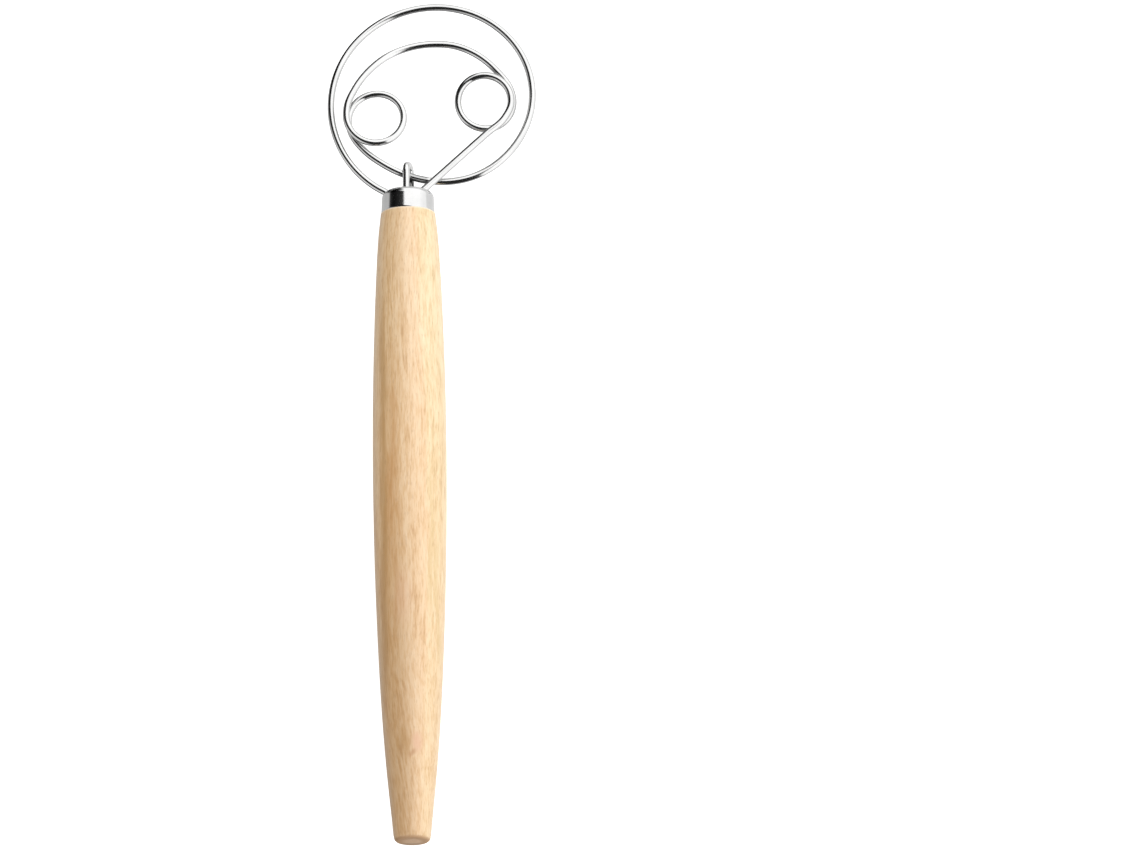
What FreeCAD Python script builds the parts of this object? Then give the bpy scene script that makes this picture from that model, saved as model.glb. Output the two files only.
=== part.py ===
import FreeCAD, Part
import math
import os
from FreeCAD import Vector

# Dough whisk lying on a table: turned wooden handle, drawn steel ferrule,
# one continuous wire head, a wire staple that ties the head to the ferrule,
# and the adhesive around the wire tails inside the handle.
#
# Everything is drawn first in the tool's own axes, in millimetres:
#   X across the head, Y along the handle axis from the butt face to the tip,
#   Z out of the flat side of the head.
# It is then tipped to the angle at which the tool lies on a table.

# ---------------------------------------------------------------- dimensions
WIRE_D = 2.80                 # head wire and staple wire
WIRE_R = WIRE_D / 2.0

BUTT_FACE_R = 5.90            # flat end face of the handle
BUTT_ROUND = [(0.62, 6.82), (2.0, 7.26)]   # rounding from end face to side
# outer profile of the handle: distance from the butt face, radius
HANDLE_PROFILE = [
    (4.0, 7.50), (10.0, 8.06), (20.0, 9.06), (30.0, 9.98), (42.0, 10.92),
    (56.0, 11.82), (72.0, 12.64), (90.0, 13.36), (110.0, 13.98),
    (132.0, 14.36), (152.0, 14.50), (172.0, 14.40), (190.0, 14.10),
    (206.0, 13.65), (220.0, 13.16), (232.0, 12.60), (241.0, 12.12),
    (248.0, 11.58), (253.0, 11.03), (255.3, 10.78),
]
SHOULDER_Y = 255.70           # step of the handle where the ferrule ends
SHOULDER_R = 10.62            # handle radius at that step

FERRULE_H = 9.00              # height of the cap
FERRULE_R_LOW = 10.55         # outer radius at its open edge
FERRULE_R_TOP = 10.28         # outer radius under the rounded shoulder
FERRULE_ROUND = 2.70          # outer rounding of the shoulder
FERRULE_WALL = 0.60           # sheet thickness
FERRULE_TOP_Y = SHOULDER_Y + FERRULE_H

TENON_TOP_Y = 261.30          # end of the wooden tenon inside the cap
TENON_GAP = 0.03              # radial play between tenon and cap

HOLE_R = 1.80                 # drilled holes for the wire tails
TAIL_END_Y = 233.0            # inner end of the two head-wire tails
STAPLE_END_Y = 240.0          # inner end of the two staple legs
HOLE_EXTRA = 1.5              # depth of a hole past its wire
PUNCH_PLAY = 0.15             # play between wire and punched hole in the cap

LEG_ANGLE = 42.52             # straight leg, degrees above the cross direction
LEG_TAIL_X = 4.95             # where its tail goes down into the handle
LEG_BEND_R = 3.50             # bend from tail to leg
RING_TAIL_X = -6.75           # tail of the outer ring
RING_BEND_R = 4.50
RING_END_DIR = (0.8733, -0.4872, 0.0)

# Centre line of the head wire from the end of the straight leg: right eye,
# arch over the top, left eye, bow under the eyes, outer ring.
WIRE_STATIONS = [
    (31.31, 288.24, 1.51), (38.32, 294.57, 1.52), (40.93, 300.73, 1.42),
    (40.35, 305.31, 1.25), (37.97, 309.21, 1.01), (34.27, 311.78, 0.68),
    (30.00, 312.63, 0.31), (25.88, 311.65, -0.07), (22.53, 309.06, -0.47),
    (20.44, 305.18, -0.82), (20.09, 300.69, -1.12), (21.62, 296.43, -1.34),
    (24.75, 293.14, -1.46), (29.01, 291.35, -1.52), (33.52, 291.42, -1.53),
    (37.56, 293.30, -1.51), (40.47, 296.74, -1.49), (41.77, 301.44, -1.49),
    (40.67, 307.58, -1.52), (35.31, 315.12, -1.49), (28.27, 321.36, -1.33),
    (19.67, 325.23, -0.96), (10.31, 326.05, -0.49), (1.03, 324.57, 0.03),
    (-7.65, 320.87, 0.56), (-14.90, 314.96, 1.02), (-20.57, 307.36, 1.35),
    (-23.98, 298.93, 1.49), (-23.65, 292.99, 1.52), (-21.21, 288.70, 1.48),
    (-17.35, 285.90, 1.39), (-12.61, 284.91, 1.21), (-7.97, 285.88, 0.96),
    (-4.20, 288.56, 0.67), (-1.97, 292.36, 0.35), (-1.53, 296.58, 0.04),
    (-2.87, 300.68, -0.27), (-5.73, 303.85, -0.56), (-9.81, 305.62, -0.86),
    (-14.39, 305.55, -1.12), (-18.66, 303.64, -1.34), (-21.75, 300.26, -1.46),
    (-23.17, 295.73, -1.52), (-22.29, 290.03, -1.51), (-17.43, 282.97, -1.49),
    (-10.01, 277.10, -1.51), (-1.70, 272.70, -1.51), (7.34, 270.03, -1.51),
    (16.80, 269.49, -1.51), (26.00, 271.45, -1.51), (34.29, 275.92, -1.51),
    (41.13, 282.42, -1.51), (46.12, 290.41, -1.51), (48.93, 299.43, -1.51),
    (49.23, 308.82, -1.51), (46.98, 317.95, -1.51), (42.41, 326.20, -1.51),
    (35.93, 333.00, -1.52), (27.94, 338.02, -1.51), (18.92, 340.94, -1.51),
    (9.53, 341.62, -1.49), (0.28, 340.12, -1.49), (-8.49, 336.55, -1.49),
    (-16.24, 331.13, -1.51), (-22.57, 324.15, -1.52), (-27.13, 315.95, -1.52),
    (-29.69, 306.83, -1.51), (-30.05, 297.46, -1.49), (-28.21, 288.20, -1.51),
    (-24.26, 279.62, -1.62), (-18.35, 272.29, -1.93), (-10.83, 266.61, -2.18),
]

STAPLE_FRONT = (-0.62, 1.45)  # X and Z of the staple's front leg
STAPLE_BACK = (1.05, -4.46)   # X and Z of its back leg
STAPLE_ARCH_Y = 273.25        # where the legs turn into the arch

# Lying on a table the tool touches at the belly of the handle and, because the
# head is wider on the right, at the right side of the outer ring.
REST_PITCH = 0.83             # degrees, head down
REST_ROLL = 11.19             # degrees about the handle axis, right side down


# ---------------------------------------------------------------- wire tools
def unit(v):
    return v * (1.0 / v.Length)


def circle_tangent(a, b, c):
    """Direction at b of the circle through a, b and c."""
    u, v = b - a, c - b
    lu, lv = u.Length, v.Length
    return unit(u * (lv / lu) + v * (lu / lv))


def arc_edge(a, ta, b):
    """Circular arc from a, leaving along ta, to b."""
    ch = b - a
    n = ch - ta * ch.dot(ta)
    if n.Length < 1e-4 * ch.Length:
        return Part.LineSegment(a, b).toShape()
    ctr = a + n * (ch.dot(ch) / (2.0 * n.dot(ch)))
    rad = (a - ctr).Length
    mid = ctr + unit((a - ctr) + (b - ctr)) * rad
    return Part.Arc(a, mid, b).toShape()


def biarc(p0, t0, p1, t1):
    """Two tangent arcs from p0 along t0 to p1 along t1."""
    v = p1 - p0
    t = t0 + t1
    k = 2.0 * (1.0 - t0.dot(t1))
    if k < 1e-9:
        d = v.dot(v) / (4.0 * v.dot(t0))
    else:
        d = (-v.dot(t) + math.sqrt(v.dot(t) ** 2 + k * v.dot(v))) / k
    pm = (p0 + p1 + (t0 - t1) * d) * 0.5
    q0 = p0 + t0 * d
    tm = unit(pm - q0)
    return [arc_edge(p0, t0, pm), arc_edge(pm, tm, p1)]


def tube(edges, r):
    """Round solid of radius r along tangent lines and arcs."""
    e0 = edges[0]
    start = e0.valueAt(e0.FirstParameter)
    t0 = e0.tangentAt(e0.FirstParameter)
    prof = Part.Wire([Part.Circle(start, t0, r).toShape()])
    path = Part.Wire(edges)
    solid = path.makePipeShell([prof], True, False)
    if solid.ShapeType != "Solid":
        solid = Part.Solid(solid.Shells[0])
    if solid.Volume < 0:
        solid.reverse()
    return solid


def bend_points(corner, t_in, t_out, r):
    """Start and end of the arc of radius r that rounds a corner."""
    turn = math.acos(max(-1.0, min(1.0, t_in.dot(t_out))))
    cut = r * math.tan(turn / 2.0)
    return corner - t_in * cut, corner + t_out * cut


# ---------------------------------------------------------------- head wire
UP = Vector(0, 1, 0)
DOWN = Vector(0, -1, 0)
stations = [Vector(*p) for p in WIRE_STATIONS]
leg_dir = Vector(math.cos(math.radians(LEG_ANGLE)),
                 math.sin(math.radians(LEG_ANGLE)), 0)
ring_dir = unit(Vector(*RING_END_DIR))

leg_end = stations[0]
run = (leg_end.x - LEG_TAIL_X) / leg_dir.x
leg_corner = leg_end - leg_dir * run
leg_b0, leg_b1 = bend_points(leg_corner, UP, leg_dir, LEG_BEND_R)
leg_tail = Vector(leg_corner.x, TAIL_END_Y, leg_corner.z)

ring_end = stations[-1]
run = (RING_TAIL_X - ring_end.x) / ring_dir.x
ring_corner = ring_end + ring_dir * run
ring_b0, ring_b1 = bend_points(ring_corner, ring_dir, DOWN, RING_BEND_R)
ring_tail = Vector(ring_corner.x, TAIL_END_Y, ring_corner.z)

leg_in = [Part.LineSegment(leg_tail, leg_b0).toShape(),
          arc_edge(leg_b0, UP, leg_b1),
          Part.LineSegment(leg_b1, leg_end).toShape()]

tangents = [leg_dir]
for i in range(1, len(stations) - 1):
    tangents.append(circle_tangent(stations[i - 1], stations[i], stations[i + 1]))
tangents.append(ring_dir)

head = []
for i in range(len(stations) - 1):
    head += biarc(stations[i], tangents[i], stations[i + 1], tangents[i + 1])

ring_out = []
if (ring_b0 - ring_end).dot(ring_dir) > 0.01:
    ring_out.append(Part.LineSegment(ring_end, ring_b0).toShape())
ring_out += [arc_edge(ring_b0, ring_dir, ring_b1),
             Part.LineSegment(ring_b1, ring_tail).toShape()]

wire_edges = leg_in + head + ring_out
whisk_wire = tube(wire_edges, WIRE_R)
wire_length = sum(e.Length for e in wire_edges)

# ---------------------------------------------------------------- staple
f_low = Vector(STAPLE_FRONT[0], STAPLE_END_Y, STAPLE_FRONT[1])
f_top = Vector(STAPLE_FRONT[0], STAPLE_ARCH_Y, STAPLE_FRONT[1])
b_top = Vector(STAPLE_BACK[0], STAPLE_ARCH_Y, STAPLE_BACK[1])
b_low = Vector(STAPLE_BACK[0], STAPLE_END_Y, STAPLE_BACK[1])
arch_r = (b_top - f_top).Length / 2.0
apex = (f_top + b_top) * 0.5 + UP * arch_r
staple_edges = [Part.LineSegment(f_low, f_top).toShape(),
                Part.Arc(f_top, apex, b_top).toShape(),
                Part.LineSegment(b_top, b_low).toShape()]
retaining_staple = tube(staple_edges, WIRE_R)


# ---------------------------------------------------------------- handle
def lathe(edges):
    """Full turn about the Y axis of a closed profile drawn in X, Y."""
    face = Part.Face(Part.Wire(edges))
    return face.revolve(Vector(0, 0, 0), Vector(0, 1, 0), 360)


def seg(a, b):
    return Part.LineSegment(Vector(a[0], a[1], 0), Vector(b[0], b[1], 0)).toShape()


ferrule_in_low = FERRULE_R_LOW - FERRULE_WALL
ferrule_in_top = FERRULE_R_TOP - FERRULE_WALL
round_y = FERRULE_TOP_Y - FERRULE_ROUND


def ferrule_inner_r(y):
    k = (y - SHOULDER_Y) / (round_y - SHOULDER_Y)
    return ferrule_in_low + (ferrule_in_top - ferrule_in_low) * min(max(k, 0.0), 1.0)


def mirrored(t, a, b):
    """Direction at one end of an arc from a to b whose other end runs along t."""
    c = unit(b - a)
    return c * (2.0 * t.dot(c)) - t


# turned side of the handle: tangent arcs through the profile
side_pts = [Vector(r, y, 0) for y, r in HANDLE_PROFILE] + \
           [Vector(SHOULDER_R, SHOULDER_Y, 0)]
side_dirs = [circle_tangent(side_pts[i - 1], side_pts[i], side_pts[i + 1])
             for i in range(1, len(side_pts) - 1)]
side_dirs.insert(0, mirrored(side_dirs[0], side_pts[0], side_pts[1]))
side_dirs.append(mirrored(side_dirs[-1], side_pts[-2], side_pts[-1]))
side = []
for i in range(len(side_pts) - 1):
    side += biarc(side_pts[i], side_dirs[i], side_pts[i + 1], side_dirs[i + 1])

butt_round = Part.BSplineCurve()
butt_round.interpolate([Vector(BUTT_FACE_R, 0, 0)] +
                       [Vector(r, y, 0) for y, r in BUTT_ROUND] + [side_pts[0]],
                       InitialTangent=Vector(1.6, 0.12, 0),
                       FinalTangent=side_dirs[0] * 2.0)

tenon_r0 = ferrule_inner_r(SHOULDER_Y) - TENON_GAP
tenon_r1 = ferrule_inner_r(TENON_TOP_Y) - TENON_GAP
handle_edges = [
    seg((0, 0), (BUTT_FACE_R, 0)),
    butt_round.toShape(),
] + side + [
    seg((SHOULDER_R, SHOULDER_Y), (tenon_r0, SHOULDER_Y)),
    seg((tenon_r0, SHOULDER_Y), (tenon_r1, TENON_TOP_Y)),
    seg((tenon_r1, TENON_TOP_Y), (0, TENON_TOP_Y)),
    seg((0, TENON_TOP_Y), (0, 0)),
]
handle = lathe(handle_edges)

tails = [(leg_tail.x, leg_tail.z, TAIL_END_Y),
         (ring_tail.x, ring_tail.z, TAIL_END_Y),
         (STAPLE_FRONT[0], STAPLE_FRONT[1], STAPLE_END_Y),
         (STAPLE_BACK[0], STAPLE_BACK[1], STAPLE_END_Y)]
sleeves = []
for x, z, y_end in tails:
    y0 = y_end - HOLE_EXTRA
    hole = Part.makeCylinder(HOLE_R, TENON_TOP_Y - y0, Vector(x, y0, z), UP)
    handle = handle.cut(Part.makeCylinder(HOLE_R, TENON_TOP_Y - y0 + 2.0,
                                          Vector(x, y0, z), UP))
    core = Part.makeCylinder(WIRE_R, TENON_TOP_Y - y_end + 2.0,
                             Vector(x, y_end, z), UP)
    sleeves.append(hole.cut(core))
bedding_resin = Part.Compound(sleeves)

# ---------------------------------------------------------------- ferrule
rt = FERRULE_R_TOP
ro = FERRULE_ROUND
ri = ro - FERRULE_WALL
c45 = math.cos(math.radians(45))
ferrule_edges = [
    seg((ferrule_in_low, SHOULDER_Y), (FERRULE_R_LOW, SHOULDER_Y)),
    seg((FERRULE_R_LOW, SHOULDER_Y), (rt, round_y)),
    Part.Arc(Vector(rt, round_y, 0),
             Vector(rt - ro + ro * c45, round_y + ro * c45, 0),
             Vector(rt - ro, FERRULE_TOP_Y, 0)).toShape(),
    seg((rt - ro, FERRULE_TOP_Y), (0, FERRULE_TOP_Y)),
    seg((0, FERRULE_TOP_Y), (0, FERRULE_TOP_Y - FERRULE_WALL)),
    seg((0, FERRULE_TOP_Y - FERRULE_WALL), (rt - ro, FERRULE_TOP_Y - FERRULE_WALL)),
    Part.Arc(Vector(rt - ro, FERRULE_TOP_Y - FERRULE_WALL, 0),
             Vector(rt - ro + ri * c45, round_y + ri * c45, 0),
             Vector(ferrule_in_top, round_y, 0)).toShape(),
    seg((ferrule_in_top, round_y), (ferrule_in_low, SHOULDER_Y)),
]
ferrule = lathe(ferrule_edges)
punch_r = WIRE_R + PUNCH_PLAY
mouth_leg = [Part.LineSegment(leg_b0 + DOWN * 3.0, leg_b0).toShape(), leg_in[1],
             Part.LineSegment(leg_b1, leg_b1 + leg_dir * 3.0).toShape()]
mouth_ring = [Part.LineSegment(ring_b0 - ring_dir * 3.0, ring_b0).toShape(),
              ring_out[-2],
              Part.LineSegment(ring_b1, ring_b1 + DOWN * 3.0).toShape()]
for mouth in (mouth_leg, mouth_ring):
    ferrule = ferrule.cut(tube(mouth, punch_r))
for x, z in (STAPLE_FRONT, STAPLE_BACK):
    ferrule = ferrule.cut(Part.makeCylinder(punch_r, 4.0,
                          Vector(x, FERRULE_TOP_Y - 2.0, z), UP))

# ---------------------------------------------------------------- placement
nodes = {
    "handle": handle,
    "ferrule": ferrule,
    "whisk_wire": whisk_wire,
    "retaining_staple": retaining_staple,
    "bedding_resin": bedding_resin,
}
turn = FreeCAD.Rotation(Vector(1, 0, 0), -REST_PITCH).multiply(
    FreeCAD.Rotation(Vector(0, 1, 0), REST_ROLL))
whole = FreeCAD.BoundBox()
for name in nodes:
    s = nodes[name].copy()
    s.Placement = FreeCAD.Placement(Vector(0, 0, 0), turn).multiply(s.Placement)
    nodes[name] = s
    whole.add(s.optimalBoundingBox(True, False))
# origin: middle of the box, on the table
shift = Vector(-whole.Center.x, -whole.Center.y, -whole.ZMin)

os.makedirs("parts", exist_ok=True)
for name in nodes:
    s = nodes[name]
    s.translate(shift)
    s.exportStep("parts/%s.step" % name)
    bb = s.optimalBoundingBox(True, False)
    print("%-18s valid %s solids %d faces %d volume %.1f  box %.2f..%.2f %.2f..%.2f %.2f..%.2f"
          % (name, s.isValid(), len(s.Solids), len(s.Faces), s.Volume,
             bb.XMin, bb.XMax, bb.YMin, bb.YMax, bb.ZMin, bb.ZMax))
print("shift %.4f %.4f %.4f" % (shift.x, shift.y, shift.z))
print("wire length %.1f, section x length %.1f" %
      (wire_length, wire_length * math.pi * WIRE_R ** 2))
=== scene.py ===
import math

import bpy
from mathutils import Matrix, Vector


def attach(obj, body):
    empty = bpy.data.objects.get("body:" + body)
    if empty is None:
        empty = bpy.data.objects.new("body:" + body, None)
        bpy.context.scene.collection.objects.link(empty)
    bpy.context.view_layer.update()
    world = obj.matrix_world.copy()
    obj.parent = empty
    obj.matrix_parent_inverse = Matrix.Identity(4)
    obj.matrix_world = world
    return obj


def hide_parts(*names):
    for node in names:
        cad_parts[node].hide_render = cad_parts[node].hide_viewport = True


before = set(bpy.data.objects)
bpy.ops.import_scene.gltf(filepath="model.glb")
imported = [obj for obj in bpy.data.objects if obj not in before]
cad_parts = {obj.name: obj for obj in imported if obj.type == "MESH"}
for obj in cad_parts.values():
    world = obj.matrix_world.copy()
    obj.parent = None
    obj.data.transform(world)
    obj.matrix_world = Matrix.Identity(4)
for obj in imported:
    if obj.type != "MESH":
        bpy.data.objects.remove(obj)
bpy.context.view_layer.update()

# ------------------------------------------------------------------ dimensions
# Tool axes, millimetres: X across the head, Y along the handle from the butt
# face to the tip, Z out of the flat side of the head.
WIRE_R = 1.40
BUTT_FACE_R = 5.90
BUTT_ROUND = [(0.62, 6.82), (2.0, 7.26)]
HANDLE_PROFILE = [
    (4.0, 7.50), (10.0, 8.06), (20.0, 9.06), (30.0, 9.98), (42.0, 10.92),
    (56.0, 11.82), (72.0, 12.64), (90.0, 13.36), (110.0, 13.98),
    (132.0, 14.36), (152.0, 14.50), (172.0, 14.40), (190.0, 14.10),
    (206.0, 13.65), (220.0, 13.16), (232.0, 12.60), (241.0, 12.12),
    (248.0, 11.58), (253.0, 11.03), (255.3, 10.78),
]
SHOULDER_Y = 255.70
SHOULDER_R = 10.62
FERRULE_H = 9.00
FERRULE_R_LOW = 10.55
FERRULE_R_TOP = 10.28
FERRULE_ROUND = 2.70
FERRULE_WALL = 0.60
TENON_TOP_Y = 261.30
TENON_R = 9.85
TAIL_END_Y = 233.0
STAPLE_END_Y = 240.0
PUNCH_PLAY = 0.15
LEG_ANGLE = 42.52
LEG_TAIL_X = 4.95
LEG_BEND_R = 3.50
RING_TAIL_X = -6.75
RING_BEND_R = 4.50
RING_END_DIR = (0.8733, -0.4872, 0.0)
WIRE_STATIONS = [
    (31.31, 288.24, 1.51), (38.32, 294.57, 1.52), (40.93, 300.73, 1.42),
    (40.35, 305.31, 1.25), (37.97, 309.21, 1.01), (34.27, 311.78, 0.68),
    (30.00, 312.63, 0.31), (25.88, 311.65, -0.07), (22.53, 309.06, -0.47),
    (20.44, 305.18, -0.82), (20.09, 300.69, -1.12), (21.62, 296.43, -1.34),
    (24.75, 293.14, -1.46), (29.01, 291.35, -1.52), (33.52, 291.42, -1.53),
    (37.56, 293.30, -1.51), (40.47, 296.74, -1.49), (41.77, 301.44, -1.49),
    (40.67, 307.58, -1.52), (35.31, 315.12, -1.49), (28.27, 321.36, -1.33),
    (19.67, 325.23, -0.96), (10.31, 326.05, -0.49), (1.03, 324.57, 0.03),
    (-7.65, 320.87, 0.56), (-14.90, 314.96, 1.02), (-20.57, 307.36, 1.35),
    (-23.98, 298.93, 1.49), (-23.65, 292.99, 1.52), (-21.21, 288.70, 1.48),
    (-17.35, 285.90, 1.39), (-12.61, 284.91, 1.21), (-7.97, 285.88, 0.96),
    (-4.20, 288.56, 0.67), (-1.97, 292.36, 0.35), (-1.53, 296.58, 0.04),
    (-2.87, 300.68, -0.27), (-5.73, 303.85, -0.56), (-9.81, 305.62, -0.86),
    (-14.39, 305.55, -1.12), (-18.66, 303.64, -1.34), (-21.75, 300.26, -1.46),
    (-23.17, 295.73, -1.52), (-22.29, 290.03, -1.51), (-17.43, 282.97, -1.49),
    (-10.01, 277.10, -1.51), (-1.70, 272.70, -1.51), (7.34, 270.03, -1.51),
    (16.80, 269.49, -1.51), (26.00, 271.45, -1.51), (34.29, 275.92, -1.51),
    (41.13, 282.42, -1.51), (46.12, 290.41, -1.51), (48.93, 299.43, -1.51),
    (49.23, 308.82, -1.51), (46.98, 317.95, -1.51), (42.41, 326.20, -1.51),
    (35.93, 333.00, -1.52), (27.94, 338.02, -1.51), (18.92, 340.94, -1.51),
    (9.53, 341.62, -1.49), (0.28, 340.12, -1.49), (-8.49, 336.55, -1.49),
    (-16.24, 331.13, -1.51), (-22.57, 324.15, -1.52), (-27.13, 315.95, -1.52),
    (-29.69, 306.83, -1.51), (-30.05, 297.46, -1.49), (-28.21, 288.20, -1.51),
    (-24.26, 279.62, -1.62), (-18.35, 272.29, -1.93), (-10.83, 266.61, -2.18),
]
STAPLE_FRONT = (-0.62, 1.45)
STAPLE_BACK = (1.05, -4.46)
STAPLE_ARCH_Y = 273.25

# how the tool lies on the table
REST_PITCH = math.radians(0.83)
REST_ROLL = math.radians(11.19)
REST_SHIFT = Vector((-9.1475, -171.4431, 16.9104))

TURN = (Matrix.Rotation(-REST_PITCH, 3, "X") @ Matrix.Rotation(REST_ROLL, 3, "Y"))
PLACE = Matrix.Translation(REST_SHIFT * 0.001) @ TURN.to_4x4()

scene = bpy.context.scene
collection = scene.collection


# ------------------------------------------------------------------ mesh tools
def new_object(name, verts, faces, uvs=None, sharp=40.0):
    """Mesh object from millimetre points in tool axes, laid on the table."""
    me = bpy.data.meshes.new(name)
    me.from_pydata([PLACE @ Vector((x * 0.001, y * 0.001, z * 0.001)) for x, y, z in verts],
                   [], faces)
    if uvs is not None:
        layer = me.uv_layers.new(name="UVMap")
        flat = [c for face in uvs for uv in face for c in uv]
        layer.data.foreach_set("uv", flat)
    me.validate()
    me.shade_smooth()
    me.set_sharp_from_angle(angle=math.radians(sharp))
    me.update()
    ob = bpy.data.objects.new(name, me)
    collection.objects.link(ob)
    return ob


def hermite(points, k, per):
    """Smooth (y, r) profile through points, per steps for each k-long span."""
    n = len(points)
    slope = []
    for i in range(n):
        a = points[max(i - 1, 0)]
        b = points[i]
        c = points[min(i + 1, n - 1)]
        if i == 0:
            slope.append((c[1] - b[1]) / (c[0] - b[0]))
        elif i == n - 1:
            slope.append((b[1] - a[1]) / (b[0] - a[0]))
        else:
            h0, h1 = b[0] - a[0], c[0] - b[0]
            s0, s1 = (b[1] - a[1]) / h0, (c[1] - b[1]) / h1
            slope.append((s0 * h1 + s1 * h0) / (h0 + h1))
    out = []
    for i in range(n - 1):
        (y0, r0), (y1, r1) = points[i], points[i + 1]
        h = y1 - y0
        steps = max(1, int(round(h / k * per)))
        for s in range(steps):
            t = s / steps
            a = 2 * t ** 3 - 3 * t ** 2 + 1
            b = t ** 3 - 2 * t ** 2 + t
            c = -2 * t ** 3 + 3 * t ** 2
            d = t ** 3 - t ** 2
            out.append((y0 + h * t, a * r0 + b * h * slope[i] + c * r1 + d * h * slope[i + 1]))
    out.append(points[-1])
    return out


def lathe(profile, nseg):
    """Closed turned surface about Y from a list of (y, r); r 0 closes an end."""
    verts, faces, rings = [], [], []
    for y, r in profile:
        if r < 1e-6:
            rings.append([len(verts)])
            verts.append((0.0, y, 0.0))
        else:
            rings.append(list(range(len(verts), len(verts) + nseg)))
            for i in range(nseg):
                t = 2 * math.pi * i / nseg
                verts.append((r * math.cos(t), y, -r * math.sin(t)))
    for a, b in zip(rings, rings[1:]):
        for i in range(nseg):
            j = (i + 1) % nseg
            if len(a) == 1 and len(b) == 1:
                continue
            if len(a) == 1:
                faces.append((a[0], b[j], b[i]))
            elif len(b) == 1:
                faces.append((a[i], a[j], b[0]))
            else:
                faces.append((a[i], a[j], b[j], b[i]))
    return verts, faces


def arc_points(centre, r, a0, a1, n):
    return [(centre[0] + r * math.sin(a0 + (a1 - a0) * i / n),
             centre[1] + r * math.cos(a0 + (a1 - a0) * i / n)) for i in range(n + 1)]


# ------------------------------------------------------------------ wire paths
def line_points(a, b, step):
    n = max(1, int(math.ceil((b - a).length / step)))
    return [a + (b - a) * (i / n) for i in range(n)]


def bend(corner, t_in, t_out, r):
    """Points of the arc that rounds a corner, and its two ends."""
    turn = t_in.angle(t_out)
    cut = r * math.tan(turn / 2)
    p0, p1 = corner - t_in * cut, corner + t_out * cut
    n_in = (t_out - t_in * t_in.dot(t_out)).normalized()
    ctr = p0 + n_in * r
    n = max(6, int(math.degrees(turn) / 4))
    pts = [ctr - n_in * (r * math.cos(turn * i / n)) + t_in * (r * math.sin(turn * i / n))
           for i in range(n)]
    return p0, p1, pts


def circle_tangent(a, b, c):
    u, v = b - a, c - b
    return (u * (v.length / u.length) + v * (u.length / v.length)).normalized()


def smooth_points(p, t, step):
    out = []
    for i in range(len(p) - 1):
        a, b, ta, tb = p[i], p[i + 1], t[i], t[i + 1]
        ch = (b - a).length
        half = min(ta.angle(tb) / 2, 1.2)
        k = ch / max(math.cos(half / 2) ** 2, 0.2)
        n = max(2, int(math.ceil(ch / step)))
        for s in range(n):
            x = s / n
            out.append(a * (2 * x ** 3 - 3 * x ** 2 + 1) + ta * (k * (x ** 3 - 2 * x ** 2 + x)) +
                       b * (-2 * x ** 3 + 3 * x ** 2) + tb * (k * (x ** 3 - x ** 2)))
    out.append(p[-1])
    return out


UP = Vector((0, 1, 0))
STEP = 0.40
stations = [Vector(p) for p in WIRE_STATIONS]
leg_dir = Vector((math.cos(math.radians(LEG_ANGLE)), math.sin(math.radians(LEG_ANGLE)), 0))
ring_dir = Vector(RING_END_DIR).normalized()

leg_corner = stations[0] - leg_dir * ((stations[0].x - LEG_TAIL_X) / leg_dir.x)
leg_b0, leg_b1, leg_arc = bend(leg_corner, UP, leg_dir, LEG_BEND_R)
leg_tail = Vector((leg_corner.x, TAIL_END_Y, leg_corner.z))
ring_corner = stations[-1] + ring_dir * ((RING_TAIL_X - stations[-1].x) / ring_dir.x)
ring_b0, ring_b1, ring_arc = bend(ring_corner, ring_dir, -UP, RING_BEND_R)
ring_tail = Vector((ring_corner.x, TAIL_END_Y, ring_corner.z))

tangents = [leg_dir]
for i in range(1, len(stations) - 1):
    tangents.append(circle_tangent(stations[i - 1], stations[i], stations[i + 1]))
tangents.append(ring_dir)

head_path = line_points(leg_tail, leg_b0, STEP * 2) + leg_arc
head_path += line_points(leg_b1, stations[0], STEP)
head_path += smooth_points(stations, tangents, STEP)[:-1]
if (ring_b0 - stations[-1]).length > 0.05:
    head_path += line_points(stations[-1], ring_b0, STEP)
head_path += ring_arc + line_points(ring_b1, ring_tail, STEP * 2) + [ring_tail]

f_top = Vector((STAPLE_FRONT[0], STAPLE_ARCH_Y, STAPLE_FRONT[1]))
b_top = Vector((STAPLE_BACK[0], STAPLE_ARCH_Y, STAPLE_BACK[1]))
f_low = Vector((f_top.x, STAPLE_END_Y, f_top.z))
b_low = Vector((b_top.x, STAPLE_END_Y, b_top.z))
mid, arch = (f_top + b_top) / 2, (b_top - f_top) / 2
staple_path = line_points(f_low, f_top, STEP * 2)
staple_path += [mid - arch * math.cos(math.pi * i / 40) +
                UP * (arch.length * math.sin(math.pi * i / 40)) for i in range(40)]
staple_path += line_points(b_top, b_low, STEP * 2) + [b_low]


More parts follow.
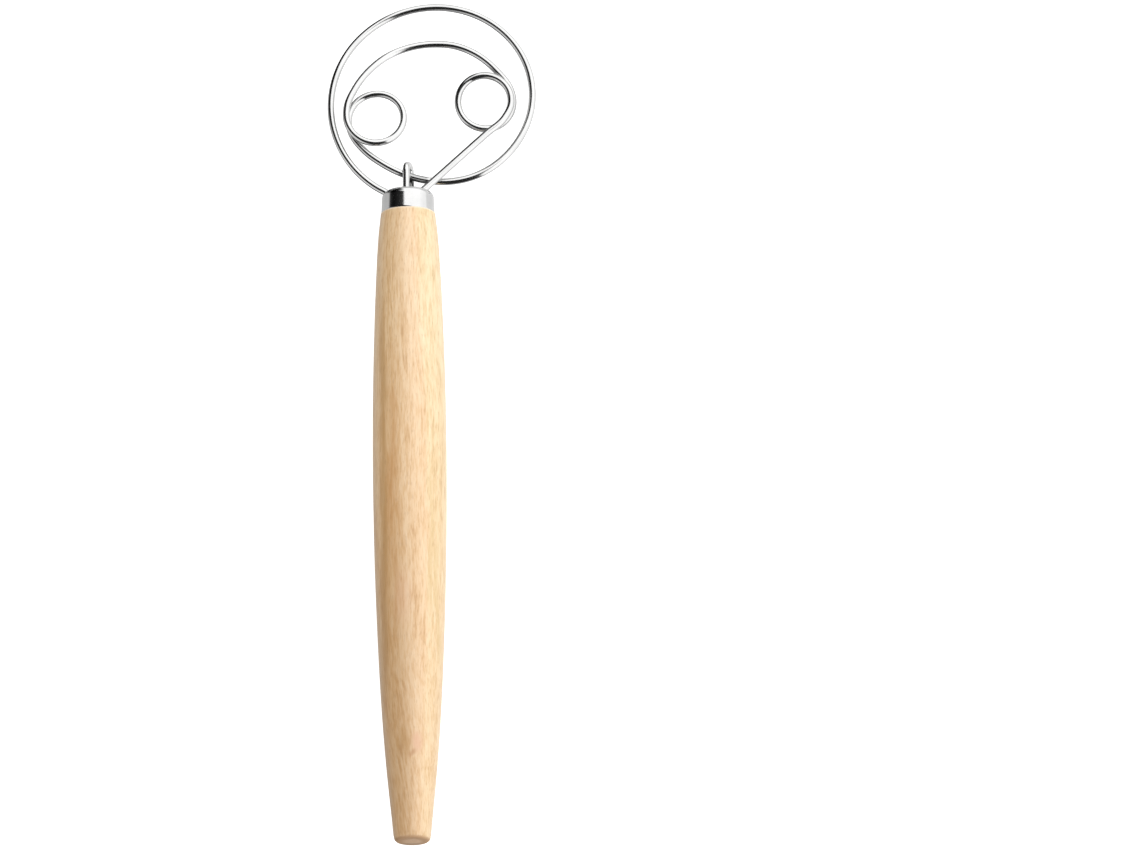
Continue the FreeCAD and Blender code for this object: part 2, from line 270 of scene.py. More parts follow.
def tube(path, r, nside, caps=True, edge=0.18):
    """Round bar along a path: points, faces and (around, along) coordinates."""
    pts = [path[0]]
    for p in path[1:]:
        if (p - pts[-1]).length > 1e-4:
            pts.append(p)
    n = len(pts)
    tan = []
    for i in range(n):
        a, b = pts[max(i - 1, 0)], pts[min(i + 1, n - 1)]
        tan.append((b - a).normalized())
    ref = Vector((0, 0, 1)) if abs(tan[0].z) < 0.9 else Vector((1, 0, 0))
    nrm = (ref - tan[0] * ref.dot(tan[0])).normalized()
    rings = []
    length = 0.0
    for i in range(n):
        if i:
            axis = tan[i - 1].cross(tan[i])
            if axis.length > 1e-9:
                ang = tan[i - 1].angle(tan[i])
                nrm = Matrix.Rotation(ang, 3, axis.normalized()) @ nrm
            nrm = (nrm - tan[i] * nrm.dot(tan[i])).normalized()
            length += (pts[i] - pts[i - 1]).length
        rings.append((pts[i], nrm.copy(), tan[i].cross(nrm), length, r))
    if caps:
        c, nn, bb, s, _ = rings[0]
        first = [(c, nn, bb, s, r - edge), (c + tan[0] * edge, nn, bb, s, r)]
        c, nn, bb, s, _ = rings[-1]
        last = [(c - tan[-1] * edge, nn, bb, s, r), (c, nn, bb, s, r - edge)]
        rings = first + rings[1:-1] + last
    verts, faces, uvs = [], [], []
    for c, nn, bb, s, rr in rings:
        for k in range(nside):
            t = 2 * math.pi * k / nside
            verts.append(tuple(c + nn * (rr * math.cos(t)) + bb * (rr * math.sin(t))))
    for i in range(len(rings) - 1):
        for k in range(nside):
            j = (k + 1) % nside
            faces.append((i * nside + k, i * nside + j, (i + 1) * nside + j, (i + 1) * nside + k))
            u0, u1 = k / nside, (k + 1) / nside
            v0, v1 = rings[i][3] * 0.01, rings[i + 1][3] * 0.01
            uvs.append(((u0, v0), (u1, v0), (u1, v1), (u0, v1)))
    faces.append(tuple(reversed(range(nside))))
    uvs.append(tuple((0.5, 0.0) for _ in range(nside)))
    faces.append(tuple(range((len(rings) - 1) * nside, len(rings) * nside)))
    uvs.append(tuple((0.5, rings[-1][3] * 0.01) for _ in range(nside)))
    return verts, faces, uvs


# ------------------------------------------------------------------ node tools
class Nodes:
    """Short hand for building one material's node tree."""

    def __init__(self, material):
        material.use_nodes = True
        self.tree = material.node_tree
        self.tree.nodes.clear()

    def add(self, kind, **props):
        node = self.tree.nodes.new(kind)
        inputs = props.pop("inputs", {})
        for key, value in props.items():
            setattr(node, key, value)
        for key, value in inputs.items():
            self.set(node, key, value)
        return node

    def set(self, node, key, value):
        socket = node.inputs[key]
        if isinstance(value, bpy.types.NodeSocket):
            self.tree.links.new(value, socket)
        else:
            socket.default_value = value

    def mapping(self, vector, scale, location=(0, 0, 0), rotation=(0, 0, 0)):
        return self.add("ShaderNodeMapping", inputs={
            "Vector": vector, "Scale": scale, "Location": location,
            "Rotation": rotation}).outputs["Vector"]

    def tool_axes(self):
        """Metres along the tool's own axes, whichever way it lies."""
        return self.add("ShaderNodeMapping", vector_type="TEXTURE", inputs={
            "Vector": self.add("ShaderNodeTexCoord").outputs["Object"],
            "Location": tuple(REST_SHIFT * 0.001),
            "Rotation": tuple(TURN.to_euler("XYZ"))}).outputs["Vector"]

    def noise(self, vector, scale=1.0, detail=2.0, rough=0.5, distortion=0.0):
        return self.add("ShaderNodeTexNoise", inputs={
            "Vector": vector, "Scale": scale, "Detail": detail,
            "Roughness": rough, "Distortion": distortion}).outputs["Fac"]

    def math(self, op, a, b=None, c=None, clamp=False):
        node = self.add("ShaderNodeMath", operation=op, use_clamp=clamp)
        self.set(node, 0, a)
        if b is not None:
            self.set(node, 1, b)
        if c is not None:
            self.set(node, 2, c)
        return node.outputs[0]

    def remap(self, value, a, b, lo=0.0, hi=1.0, smooth=False):
        return self.add("ShaderNodeMapRange", clamp=True,
                        interpolation_type="SMOOTHSTEP" if smooth else "LINEAR",
                        inputs={"Value": value, "From Min": a, "From Max": b,
                                "To Min": lo, "To Max": hi}).outputs["Result"]

    def dot(self, vector, axis):
        node = self.add("ShaderNodeVectorMath", operation="DOT_PRODUCT")
        self.set(node, 0, vector)
        self.set(node, 1, tuple(axis))
        return node.outputs["Value"]

    def mix(self, fac, a, b, blend="MIX"):
        node = self.add("ShaderNodeMix", data_type="RGBA", blend_type=blend)
        self.set(node, 0, fac)
        self.set(node, 6, a)
        self.set(node, 7, b)
        return node.outputs[2]

    def ramp(self, fac, stops):
        node = self.add("ShaderNodeValToRGB", inputs={"Fac": fac})
        el = node.color_ramp.elements
        while len(el) < len(stops):
            el.new(0.5)
        for e, (pos, col) in zip(el, stops):
            e.position = pos
            e.color = (*col, 1.0)
        return node.outputs["Color"]


# ------------------------------------------------------------------ materials
def wood_material():
    mat = bpy.data.materials.new("turned_hardwood")
    n = Nodes(mat)
    obj = n.tool_axes()
    xyz = n.add("ShaderNodeSeparateXYZ", inputs={"Vector": obj})

    X, Y, Z = xyz.outputs["X"], xyz.outputs["Y"], xyz.outputs["Z"]

    # the grain runs along the handle, wanders a little sideways and leans near the butt
    sway = n.noise(n.mapping(obj, (14, 15, 14), location=(0.7, 2.3, 0.0)), detail=1.0)
    sway2 = n.noise(n.mapping(obj, (11, 17, 11), location=(5.7, 0.3, 9.0)), detail=1.0)
    lean = n.math("MULTIPLY_ADD", n.math("MINIMUM", Y, 0.065), 0.08, X)
    grain = n.add("ShaderNodeCombineXYZ", inputs={
        "X": n.math("MULTIPLY_ADD", sway, 0.0045, lean), "Y": Y,
        "Z": n.math("MULTIPLY_ADD", sway2, 0.0045, Z)}).outputs["Vector"]
    gxyz = n.add("ShaderNodeSeparateXYZ", inputs={"Vector": grain})

    # growth rings: soft uneven shells about a pith well outside the handle
    gx = n.math("ADD", gxyz.outputs["X"], 0.031)
    gz = n.math("ADD", gxyz.outputs["Z"], 0.024)
    rho = n.math("SQRT", n.math("ADD", n.math("MULTIPLY", gx, gx), n.math("MULTIPLY", gz, gz)))
    rho = n.math("ADD", rho, n.math("MULTIPLY", Y, 0.03))
    shell = n.add("ShaderNodeCombineXYZ", inputs={
        "X": n.math("MULTIPLY", rho, 330.0), "Y": n.math("MULTIPLY", Y, 5.0)}).outputs["Vector"]
    rings = n.noise(shell, detail=2.0, rough=0.45)

    # streaks, short flecks, fibres and open pores, all drawn out along the grain
    streak = n.noise(n.mapping(grain, (430, 36, 430)), detail=3.0, rough=0.58)
    fleck = n.noise(n.mapping(grain, (620, 125, 620), location=(2.0, 7.0, 0.5)), detail=2.0, rough=0.6)
    fibre = n.noise(n.mapping(grain, (1350, 160, 1350), location=(1.3, 0.0, 4.1)),
                    detail=3.0, rough=0.6)
    pore_n = n.noise(n.mapping(grain, (2300, 330, 2300), location=(0.3, 5.0, 2.0)),
                     detail=1.0, rough=0.4)
    pore = n.remap(pore_n, 0.590, 0.700, smooth=True)
    cloud = n.noise(n.mapping(obj, (75, 26, 75), location=(3.1, 0.4, 1.7)), detail=2.0)

    tone = n.math("MULTIPLY_ADD", streak, 0.55, n.math("MULTIPLY", fibre, 1.00))
    tone = n.math("MULTIPLY_ADD", fleck, 0.34, tone)
    tone = n.math("ADD", tone, n.math("MULTIPLY", rings, 0.34))
    tone = n.math("MULTIPLY_ADD", cloud, 0.30, tone)
    col = n.ramp(n.math("MULTIPLY_ADD", tone, 0.52, -0.154),
                 [(0.34, (0.575, 0.338, 0.150)), (0.44, (0.705, 0.458, 0.236)),
                  (0.53, (0.775, 0.546, 0.322)), (0.66, (0.822, 0.615, 0.395))])
    # the upper half is a little paler
    col = n.mix(n.remap(Y, 0.150, 0.215, smooth=True), col, (0.020, 0.027, 0.028, 1), "ADD")

    # paler, yellower sapwood down the right flank, partly painted light where the light falls on that
    # side
    border = n.math("MINIMUM", n.remap(Y, 0.255, 0.150, 0.0030, 0.0070),
                    n.remap(Y, 0.025, 0.095, 0.0037, 0.0070))
    past = n.math("SUBTRACT", n.math("MULTIPLY_ADD", streak, 0.004, X), border)
    past = n.math("MULTIPLY_ADD", cloud, 0.003, past)
    sapwood_and_light = n.remap(past, 0.0026, 0.0050, smooth=True)
    sapwood_and_light = n.math("MULTIPLY", sapwood_and_light, n.remap(Y, 0.030, 0.200, 0.38, 1.00))
    col = n.mix(sapwood_and_light, col, (0.000, 0.050, 0.030, 1), "ADD")

    # warmer and a little darker towards the left flank: painted shade on the side away from the light
    col = n.mix(n.remap(X, 0.000, -0.008), col, (1.0, 0.970, 0.890, 1), "MULTIPLY")

    # brown band and a narrow olive streak left of the middle of the front
    facing = n.remap(Z, 0.0, 0.003)
    drift = n.noise(n.mapping(obj, (0.0, 22, 0.0), location=(4.0, 1.0, 0.0)), detail=2.0)
    edge = n.noise(n.mapping(grain, (600, 60, 600), location=(9.0, 2.0, 0.0)), detail=2.0)
    line_x = n.math("MULTIPLY_ADD", drift, 0.0070, X)
    line_x = n.math("MULTIPLY_ADD", edge, 0.0030, line_x)
    upper = n.math("MULTIPLY", n.remap(Y, 0.060, 0.120, smooth=True),
                   n.remap(Y, 0.215, 0.165, smooth=True))
    off = n.math("ABSOLUTE", n.math("ADD", line_x, 0.0022))
    heart = n.math("MULTIPLY", n.remap(off, 0.0056, 0.0008, smooth=True), upper)
    heart = n.math("MULTIPLY", heart, n.remap(streak, 0.62, 0.36, 0.25, 0.75))
    col = n.mix(n.math("MULTIPLY", heart, facing), col, (0.600, 0.320, 0.125, 1))
    off = n.math("MULTIPLY_ADD", edge, 0.0020, n.math("MULTIPLY_ADD", drift, 0.0020, X))
    off = n.math("ABSOLUTE", n.math("ADD", off, 0.0082))
    olive = n.math("MULTIPLY", n.remap(off, 0.0019, 0.0003, smooth=True), facing)
    olive = n.math("MULTIPLY", olive, n.remap(Y, 0.045, 0.085, smooth=True))
    olive = n.math("MULTIPLY", olive, n.remap(Y, 0.235, 0.195, smooth=True))
    col = n.mix(n.math("MULTIPLY", olive, 0.66), col, (0.505, 0.278, 0.092, 1))

    # two thin golden lines in the sapwood
    for x0, y0, y1 in ((-0.0118, 0.085, 0.155), (-0.0141, 0.062, 0.128)):
        off = n.math("ABSOLUTE", n.math("ADD", line_x, x0 - 0.0012))
        thin = n.math("MULTIPLY", n.remap(off, 0.0013, 0.0003, smooth=True), facing)
        thin = n.math("MULTIPLY", thin, n.remap(Y, y0, y0 + 0.015, smooth=True))
        thin = n.math("MULTIPLY", thin, n.remap(Y, y1, y1 - 0.015, smooth=True))
        col = n.mix(n.math("MULTIPLY", thin, 0.45), col, (0.640, 0.450, 0.200, 1))

    # painted shade: the lower third is a shade deeper, most of all on the left, where less light
    # reaches
    painted_shade_low = n.remap(Y, 0.165, 0.030, smooth=True)
    painted_shade_low = n.math("MULTIPLY", painted_shade_low, n.remap(X, 0.006, -0.005, 0.18, 1.00))
    col = n.mix(painted_shade_low, col, (0.800, 0.740, 0.680, 1), "MULTIPLY")
    col = n.mix(n.math("MULTIPLY", pore, 0.22), col, (0.380, 0.205, 0.090, 1))

    # pin knot low on the front, reddish beside it and brown on the other side
    def spot(x0, y0, r0, r1, flat, slant=0.0):
        dy = n.math("ADD", Y, -y0)
        dx = n.math("ADD", n.math("ADD", X, -x0), n.math("MULTIPLY", dy, -slant))
        dy = n.math("MULTIPLY", dy, flat)
        d = n.math("SQRT", n.math("ADD", n.math("MULTIPLY", dx, dx), n.math("MULTIPLY", dy, dy)))
        d = n.math("ADD", n.math("MULTIPLY_ADD", fibre, 0.0016, d), -0.0008)
        return n.math("MULTIPLY", n.remap(d, r1, r0, smooth=True), n.remap(Z, 0.002, 0.004))

    for x0, y0, r0, r1, flat, slant, much, tint in (
            (-0.0030, 0.0372, 0.0006, 0.0046, 0.46, 0.0, 0.50, (0.500, 0.280, 0.105, 1)),
            (0.0022, 0.0374, 0.0006, 0.0031, 0.50, 0.0, 0.72, (0.700, 0.415, 0.262, 1)),
            (-0.0028, 0.0960, 0.0008, 0.0050, 0.30, 0.0, 0.34, (0.720, 0.430, 0.265, 1)),
            (-0.0041, 0.0345, 0.0002, 0.0012, 0.25, 0.0, 0.45, (0.440, 0.230, 0.090, 1)),
            (0.0004, 0.0331, 0.0003, 0.0019, 0.80, 0.45, 0.58, (0.470, 0.220, 0.090, 1))):
        col = n.mix(n.math("MULTIPLY", spot(x0, y0, r0, r1, flat, slant), much), col, tint)

    # thin pale band on the wood just under the shoulder
    col = n.mix(n.remap(Y, 0.25500, 0.25535, 0.0, 0.38), col, (0.930, 0.830, 0.680, 1))

    # sawn end: brown round the rim, paler in the middle, and dull; the darkening on its left and at its
    # far, lower rim is painted shade
    end = n.remap(Y, 0.0011, 0.0002, smooth=True)
    reach = n.math("SQRT", n.math("ADD", n.math("MULTIPLY", X, X), n.math("MULTIPLY", Z, Z)))
    cut = n.mix(n.remap(reach, 0.0050, 0.0022, smooth=True), (0.490, 0.285, 0.150, 1),
                (0.690, 0.470, 0.310, 1))
    # painted shade: the end face darkens to its left and towards its far, lower rim
    cut = n.mix(n.remap(X, 0.004, -0.005, 0.0, 0.35), cut, (0.400, 0.240, 0.130, 1))
    cut = n.mix(n.remap(Z, -0.0018, -0.0050, 0.0, 0.75), cut, (0.300, 0.205, 0.140, 1))
    col = n.mix(n.math("MULTIPLY", end, 0.80), col, cut)

    rough = n.math("ADD", n.remap(fibre, 0.3, 0.7, 0.36, 0.46),
                   n.math("MULTIPLY", pore, 0.14))
    rough = n.math("MULTIPLY_ADD", end, 0.35, rough)
    height = n.math("SUBTRACT", n.math("MULTIPLY", fibre, 0.35), n.math("MULTIPLY", pore, 0.65))
    bump = n.add("ShaderNodeBump", inputs={"Strength": 0.14, "Distance": 0.00014, "Height": height})

    bsdf = n.add("ShaderNodeBsdfPrincipled", inputs={
        "Base Color": col, "Roughness": rough, "Specular IOR Level": 0.70,
        "Normal": bump.outputs["Normal"], "Coat Weight": n.remap(end, 0.0, 1.0, 0.30, 0.0),
        "Coat Roughness": 0.30})
    out = n.add("ShaderNodeOutputMaterial")
    n.tree.links.new(bsdf.outputs["BSDF"], out.inputs["Surface"])
    return mat


def steel_material(name, drawn):
    """Bright steel; drawn lines run along a wire, or round a spun cap."""
    mat = bpy.data.materials.new(name)
    n = Nodes(mat)
    obj = n.tool_axes()
    if drawn:
        uv = n.add("ShaderNodeTexCoord").outputs["UV"]
        lines = n.noise(n.mapping(uv, (46.0, 2.2, 1.0)), detail=3.0, rough=0.6)
        smear = n.noise(n.mapping(obj, (90, 90, 90)), detail=3.0)
        fine = n.noise(n.mapping(obj, (1400, 1400, 1400)), detail=2.0)
    else:
        xyz = n.add("ShaderNodeSeparateXYZ", inputs={"Vector": obj})
        rad = n.math("SQRT", n.math("ADD", n.math("MULTIPLY", xyz.outputs["X"], xyz.outputs["X"]),
                                    n.math("MULTIPLY", xyz.outputs["Z"], xyz.outputs["Z"])))
        across = n.math("SUBTRACT", xyz.outputs["Y"], rad)
        turn = n.add("ShaderNodeCombineXYZ", inputs={
            "X": n.math("MULTIPLY", xyz.outputs["X"], 30.0),
            "Y": n.math("MULTIPLY", across, 5200.0),
            "Z": n.math("MULTIPLY", xyz.outputs["Z"], 30.0)}).outputs["Vector"]
        lines = n.noise(turn, detail=3.0, rough=0.6)
        smear = n.noise(n.mapping(obj, (150, 150, 150)), detail=3.0)
        fine = n.noise(n.mapping(obj, (1600, 1600, 1600)), detail=2.0)
    col = n.mix(n.remap(smear, 0.30, 0.70), (0.600, 0.600, 0.597, 1), (0.680, 0.680, 0.676, 1))
    col = n.mix(n.remap(lines, 0.55, 0.80, 0.0, 0.12), col, (0.430, 0.430, 0.430, 1))
    if drawn:
        # painted shade: the wire metal in the nook behind the staple, close above the cap, is darkened
        # to stand in for shade and dark reflections there
        xyz = n.add("ShaderNodeSeparateXYZ", inputs={"Vector": obj})
        painted_shade_nook = n.math("ABSOLUTE", n.math("ADD", xyz.outputs["X"], -0.0036))
        painted_shade_nook = n.math("MULTIPLY", n.remap(painted_shade_nook, 0.0048, 0.0034, smooth=True),
                      n.remap(xyz.outputs["Z"], 0.0003, -0.0006, smooth=True))
        painted_shade_nook = n.math("MULTIPLY", painted_shade_nook, n.remap(xyz.outputs["Y"], 0.2740, 0.2726, smooth=True))
        painted_shade_nook = n.math("MULTIPLY", painted_shade_nook, n.remap(smear, 0.25, 0.75, 0.95, 0.75))
        col = n.mix(painted_shade_nook, col, (0.110, 0.110, 0.108, 1))
    rough = n.math("ADD", n.remap(smear, 0.3, 0.7, 0.085, 0.135),
                   n.remap(lines, 0.45, 0.75, 0.0, 0.05))
    height = n.math("ADD", n.math("MULTIPLY", lines, 0.7), n.math("MULTIPLY", fine, 0.3))
    bump = n.add("ShaderNodeBump", inputs={"Strength": 0.05, "Distance": 0.00004, "Height": height})
    bsdf = n.add("ShaderNodeBsdfPrincipled", inputs={
        "Base Color": col, "Metallic": 1.0, "Roughness": rough, "Normal": bump.outputs["Normal"]})
    out = n.add("ShaderNodeOutputMaterial")
    n.tree.links.new(bsdf.outputs["BSDF"], out.inputs["Surface"])
    return mat


def resin_material():
    mat = bpy.data.materials.new("cured_resin")
    n = Nodes(mat)
    obj = n.tool_axes()
    cloud = n.noise(n.mapping(obj, (420, 260, 420)), detail=3.0)
    speck = n.noise(n.mapping(obj, (2600, 2600, 2600)), detail=1.0)
    col = n.ramp(cloud, [(0.3, (0.42, 0.30, 0.13)), (0.7, (0.60, 0.47, 0.24))])
    col = n.mix(n.remap(speck, 0.62, 0.72, 0.0, 0.5), col, (0.30, 0.20, 0.08, 1))
    bump = n.add("ShaderNodeBump", inputs={"Strength": 0.2, "Distance": 0.0001, "Height": cloud})
    bsdf = n.add("ShaderNodeBsdfPrincipled", inputs={
        "Base Color": col, "Roughness": n.remap(cloud, 0.3, 0.7, 0.25, 0.42), "IOR": 1.52,
        "Normal": bump.outputs["Normal"]})
    out = n.add("ShaderNodeOutputMaterial")
    n.tree.links.new(bsdf.outputs["BSDF"], out.inputs["Surface"])
    return mat


def floor_material():
    mat = bpy.data.materials.new("studio_paper")
    n = Nodes(mat)
    obj = n.add("ShaderNodeTexCoord").outputs["Object"]
    soft = n.noise(n.mapping(obj, (3, 3, 3)), detail=2.0)
    tooth = n.noise(n.mapping(obj, (900, 900, 900)), detail=2.0)
    col = n.mix(n.remap(soft, 0.3, 0.7), (0.900, 0.900, 0.900, 1), (0.915, 0.915, 0.912, 1))
    bump = n.add("ShaderNodeBump", inputs={"Strength": 0.03, "Distance": 0.0001, "Height": tooth})
    bsdf = n.add("ShaderNodeBsdfPrincipled", inputs={
        "Base Color": col, "Roughness": 0.95, "Specular IOR Level": 0.1,
        "Normal": bump.outputs["Normal"],
        "Emission Color": (1.0, 1.0, 1.0, 1), "Emission Strength": 0.60})
    out = n.add("ShaderNodeOutputMaterial")
    n.tree.links.new(bsdf.outputs["BSDF"], out.inputs["Surface"])
    return mat


wood = wood_material()
wire_steel = steel_material("drawn_steel_wire", True)
cap_steel = steel_material("polished_steel", False)
resin = resin_material()


# ------------------------------------------------------------------ handle
def butt_profile():
    """Rounded butt from the middle of the end face up to the side."""
    pts = [(0.0, 0.0), (0.0, 1.5), (0.0, 3.0), (0.0, 4.4), (0.0, 5.2), (0.0, BUTT_FACE_R)]
    ctrl = [(0.0, BUTT_FACE_R), BUTT_ROUND[0], BUTT_ROUND[1], HANDLE_PROFILE[0]]
    p = [Vector((r, y)) for y, r in ctrl]
    end = Vector((HANDLE_PROFILE[1][1] - HANDLE_PROFILE[0][1],
                  HANDLE_PROFILE[1][0] - HANDLE_PROFILE[0][0])).normalized()
    t = [Vector((1.0, 0.1)).normalized()]
    for i in (1, 2):
        t.append(circle_tangent(p[i - 1], p[i], p[i + 1]))
    t.append(end)
    out = smooth_points(p, t, 0.14)
    return pts + [(q.y, q.x) for q in out[1:-1]]


side = hermite(HANDLE_PROFILE, 1.0, 1.0)
profile = butt_profile() + side
# eased shoulder, its face, and the tenon inside the cap
profile += [(255.52, 10.735), (255.64, 10.68), (SHOULDER_Y, 10.60), (SHOULDER_Y, 10.20),
            (SHOULDER_Y, TENON_R), (258.5, TENON_R - 0.09), (TENON_TOP_Y - 0.4, TENON_R - 0.17),
            (TENON_TOP_Y, TENON_R - 0.5), (TENON_TOP_Y, 5.0), (TENON_TOP_Y, 0.0)]
handle = new_object("handle_wood", *lathe(profile, 176), sharp=50.0)
handle.data.materials.append(wood)

# ------------------------------------------------------------------ ferrule
top_y = SHOULDER_Y + FERRULE_H
round_y = top_y - FERRULE_ROUND
rt, ro, ri = FERRULE_R_TOP, FERRULE_ROUND, FERRULE_ROUND - FERRULE_WALL
in_low, in_top = FERRULE_R_LOW - FERRULE_WALL, FERRULE_R_TOP - FERRULE_WALL
out_prof = [(SHOULDER_Y + 0.01, in_low + 0.05), (SHOULDER_Y + 0.01, FERRULE_R_LOW - 0.05),
            (SHOULDER_Y + 0.02, FERRULE_R_LOW - 0.02), (SHOULDER_Y + 0.05, FERRULE_R_LOW - 0.005)]
for i in range(1, 13):
    k = i / 13
    out_prof.append((SHOULDER_Y + 0.05 + (round_y - SHOULDER_Y - 0.05) * k,
                     FERRULE_R_LOW - 0.005 + (rt - FERRULE_R_LOW + 0.005) * k))
out_prof += [(y, r) for r, y in arc_points((rt - ro, round_y), ro, math.pi / 2, 0, 26)]
for r in (7.1, 6.7, 6.2, 5.4, 4.6, 3.8, 3.0, 2.2, 1.4, 0.7):
    out_prof.append((top_y, r))
out_prof.append((top_y, 0.0))
in_prof = [(top_y - FERRULE_WALL, 0.0), (top_y - FERRULE_WALL, 4.0)]
in_prof += [(y, r) for r, y in arc_points((rt - ro, round_y), ri, 0, math.pi / 2, 10)]
in_prof += [(SHOULDER_Y + 3.0, in_low - 0.12), (SHOULDER_Y + 0.01, in_low + 0.05)]


def ferrule_mesh(nseg):
    v1, f1 = lathe(out_prof, nseg)
    v2, f2 = lathe(in_prof, nseg)
    off = len(v1)
    faces = f1 + [tuple(i + off for i in f) for f in f2]
    # the open edge is shared by both sides of the sheet
    last = off + len(v2) - nseg
    weld = {last + i: i for i in range(nseg)}
    faces = [tuple(weld.get(i, i) for i in f) for f in faces]
    return v1 + v2[:-nseg], faces


ferrule = new_object("ferrule_cap", *ferrule_mesh(144), sharp=38.0)


def punched(target, paths, r):
    """Cuts round holes along paths through the target."""
    cutters = []
    for i, path in enumerate(paths):
        v, f, _ = tube(path, r, 40, caps=False)
        cut = new_object("cutter_%d" % i, v, f)
        cutters.append(cut)
        mod = target.modifiers.new("cut_%d" % i, "BOOLEAN")
        mod.operation = "DIFFERENCE"
        mod.solver = "EXACT"
        mod.object = cut
    bpy.context.view_layer.update()
    dg = bpy.context.evaluated_depsgraph_get()
    me = bpy.data.meshes.new_from_object(target.evaluated_get(dg))
    target.modifiers.clear()
    old = target.data
    target.data = me
    me.name = target.name
    bpy.data.meshes.remove(old)
    for cut in cutters:
        data = cut.data
        bpy.data.objects.remove(cut)
        bpy.data.meshes.remove(data)
    me.shade_smooth()
    me.set_sharp_from_angle(angle=math.radians(38.0))


def holes():
    out = [[leg_b0 - UP * 3.0, leg_b0 - UP * 1.0] + leg_arc +
           [leg_b1, leg_b1 + leg_dir * 1.5, leg_b1 + leg_dir * 3.0],
           [ring_b0 - ring_dir * 3.0, ring_b0 - ring_dir * 1.5] + ring_arc +
           [ring_b1, ring_b1 - UP * 1.0, ring_b1 - UP * 3.0]]
    for p in (f_top, b_top):
        out.append([Vector((p.x, top_y - 2.0, p.z)), Vector((p.x, top_y, p.z)),
                    Vector((p.x, top_y + 2.0, p.z))])
    return out


punched(ferrule, holes(), WIRE_R + PUNCH_PLAY)
ferrule.data.materials.clear()
ferrule.data.materials.append(cap_steel)

# ------------------------------------------------------------------ wires
wire = new_object("head_wire", *tube(head_path, WIRE_R, 28), sharp=35.0)
wire.data.materials.append(wire_steel)
staple = new_object("staple_wire", *tube(staple_path, WIRE_R, 28), sharp=35.0)
staple.data.materials.append(wire_steel)

for piece, node, slot in ((handle, "handle", "wood"), (ferrule, "ferrule", "polished_steel"),
                          (wire, "whisk_wire", "steel_wire"),
                          (staple, "retaining_staple", "steel_wire")):
    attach(piece, "root")
    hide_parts(node)

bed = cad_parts["bedding_resin"]
bed.data.materials.clear()
bed.data.materials.append(resin)

# ------------------------------------------------------------------ camera
# long lens, almost square to the tool, a little towards the butt
LENS, SENSOR, FRAME_W = 480.0, 36.0, 1140.0
TILT = math.radians(16.5)
ROLL = math.radians(-0.570)
MM_PER_PX = 0.3923
AIM = Vector((62.955, 167.370, 0.0))
distance = MM_PER_PX * LENS / SENSOR * FRAME_W
fwd = Vector((0, math.sin(TILT), -math.cos(TILT)))
up0 = Vector((0, math.cos(TILT), math.sin(TILT)))
right = Vector((1, 0, 0)) * math.cos(ROLL) + up0 * math.sin(ROLL)
up = Vector((-1, 0, 0)) * math.sin(ROLL) + up0 * math.cos(ROLL)
eye = AIM - fwd * distance

w_right, w_up, w_back = TURN @ right, TURN @ up, TURN @ (-fwd)
w_eye = PLACE @ (eye * 0.001)
cam_data = bpy.data.cameras.new("camera")
cam_data.sensor_fit = "HORIZONTAL"
cam_data.sensor_width = SENSOR
cam_data.lens = LENS
cam_data.clip_start = 0.05
cam_data.clip_end = 100.0
cam = bpy.data.objects.new("camera", cam_data)
collection.objects.link(cam)
cam.matrix_world = Matrix((
    (w_right.x, w_up.x, w_back.x, w_eye.x),
    (w_right.y, w_up.y, w_back.y, w_eye.y),
    (w_right.z, w_up.z, w_back.z, w_eye.z),
    (0, 0, 0, 1)))
scene.camera = cam

# ------------------------------------------------------------------ stage
me = bpy.data.meshes.new("floor")
h = 30.0
me.from_pydata([(-h, -h, 0), (h, -h, 0), (h, h, 0), (-h, h, 0)], [], [(0, 1, 2, 3)])
floor = bpy.data.objects.new("floor", me)
floor.data.materials.append(floor_material())
collection.objects.link(floor)
floor.visible_glossy = False
floor.visible_diffuse = False
floor.visible_shadow = False

# soft white studio with a dark flag on the left and below
world = bpy.data.worlds.new("studio")
scene.world = world
world.use_nodes = True
w = Nodes(world)
ray = w.add("ShaderNodeTexCoord").outputs["Generated"]
a = w.dot(ray, w_right)
b = w.dot(ray, w_up)
c = w.dot(ray, w_back)
path = w.add("ShaderNodeLightPath")

# seen by polished surfaces: a bright tent with a black card low on the left, lit a
# little along its outer edge, and darker corners behind the tool
def card_edge(na, nb, level, soft):
    d = w.math("ADD", w.math("MULTIPLY", a, na), w.math("MULTIPLY", b, nb))
    return w.remap(d, level + soft, level - soft, smooth=True)


card = w.math("MULTIPLY", card_edge(0.958, 0.285, 0.294, 0.030),
              card_edge(0.495, 0.869, 0.390, 0.030))
low_left = w.math("ADD", w.math("MULTIPLY", a, -0.80), w.math("MULTIPLY", b, -0.60))
dark = w.remap(low_left, 0.50, 0.97, 0.030, 1.10, smooth=True)
tent = w.remap(a, 0.70, 0.94, 1.54, 1.36, smooth=True)
ahead = w.math("ADD", w.math("MULTIPLY", tent, w.math("SUBTRACT", 1.0, card)),
               w.math("MULTIPLY", dark, card))

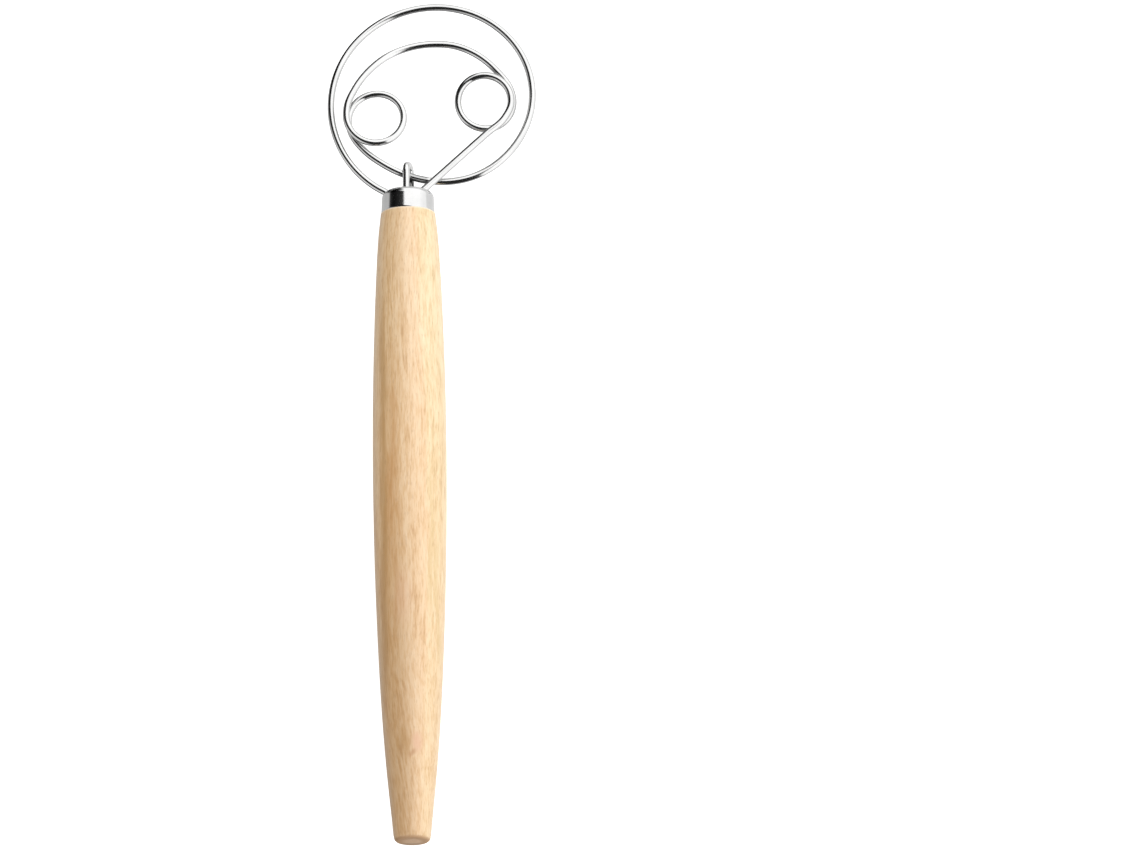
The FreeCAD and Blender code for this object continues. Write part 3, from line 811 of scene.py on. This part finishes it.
behind = w.math("ADD", w.remap(a, -0.10, 0.45, 0.66, 1.02, smooth=True),
                w.remap(b, 0.30, 0.85, 0.0, 0.12))
behind = w.math("MULTIPLY", behind, w.remap(b, -0.95, -0.45, 0.62, 1.0))
corner = w.math("MULTIPLY", w.remap(a, -0.05, -0.30, smooth=True),
                w.remap(b, -0.35, -0.55, smooth=True))
behind = w.math("MULTIPLY", behind, w.remap(corner, 0.0, 1.0, 1.0, 0.12))
front = w.remap(c, -0.17, -0.01, smooth=True)
gloss = w.math("ADD", w.math("MULTIPLY", ahead, front),
               w.math("MULTIPLY", behind, w.math("SUBTRACT", 1.0, front)))
upper = w.math("MULTIPLY", w.remap(a, -0.20, -0.38, smooth=True),
               w.remap(b, 0.30, 0.50, smooth=True))
upper = w.math("MULTIPLY", upper, w.remap(c, 0.74, 0.14, smooth=True))
gloss = w.math("MULTIPLY", gloss, w.remap(upper, 0.0, 1.0, 1.0, 0.015))

# general fill on matt surfaces: strong from the right, weaker from the left and below
fill = w.math("ADD", w.remap(a, -0.75, 0.0, 0.89, 1.44), w.remap(a, 0.0, 0.75, 0.0, 0.39))
fill = w.math("SUBTRACT", fill, w.remap(a, -0.60, -1.0, 0.0, 0.80))
fill = w.math("SUBTRACT", fill, w.remap(a, 0.65, 1.0, 0.0, 0.60))
fill = w.math("MULTIPLY", fill, w.remap(b, -0.9, 0.05, 0.40, 1.0))

amount = w.math("ADD", w.math("MULTIPLY", fill, w.math("SUBTRACT", 1.0, path.outputs["Is Glossy Ray"])),
                w.math("MULTIPLY", gloss, path.outputs["Is Glossy Ray"]))
cam_ray = path.outputs["Is Camera Ray"]
amount = w.math("ADD", w.math("MULTIPLY", amount, w.math("SUBTRACT", 1.0, cam_ray)), cam_ray)
bg = w.add("ShaderNodeBackground", inputs={"Color": (1.0, 1.0, 1.0, 1.0), "Strength": amount})
wo = w.add("ShaderNodeOutputWorld")
w.tree.links.new(bg.outputs["Background"], wo.inputs["Surface"])
world.cycles.sampling_method = "NONE"

scene.view_settings.view_transform = "Standard"
scene.view_settings.look = "None"
scene.view_settings.exposure = 0.0
scene.view_settings.gamma = 1.0
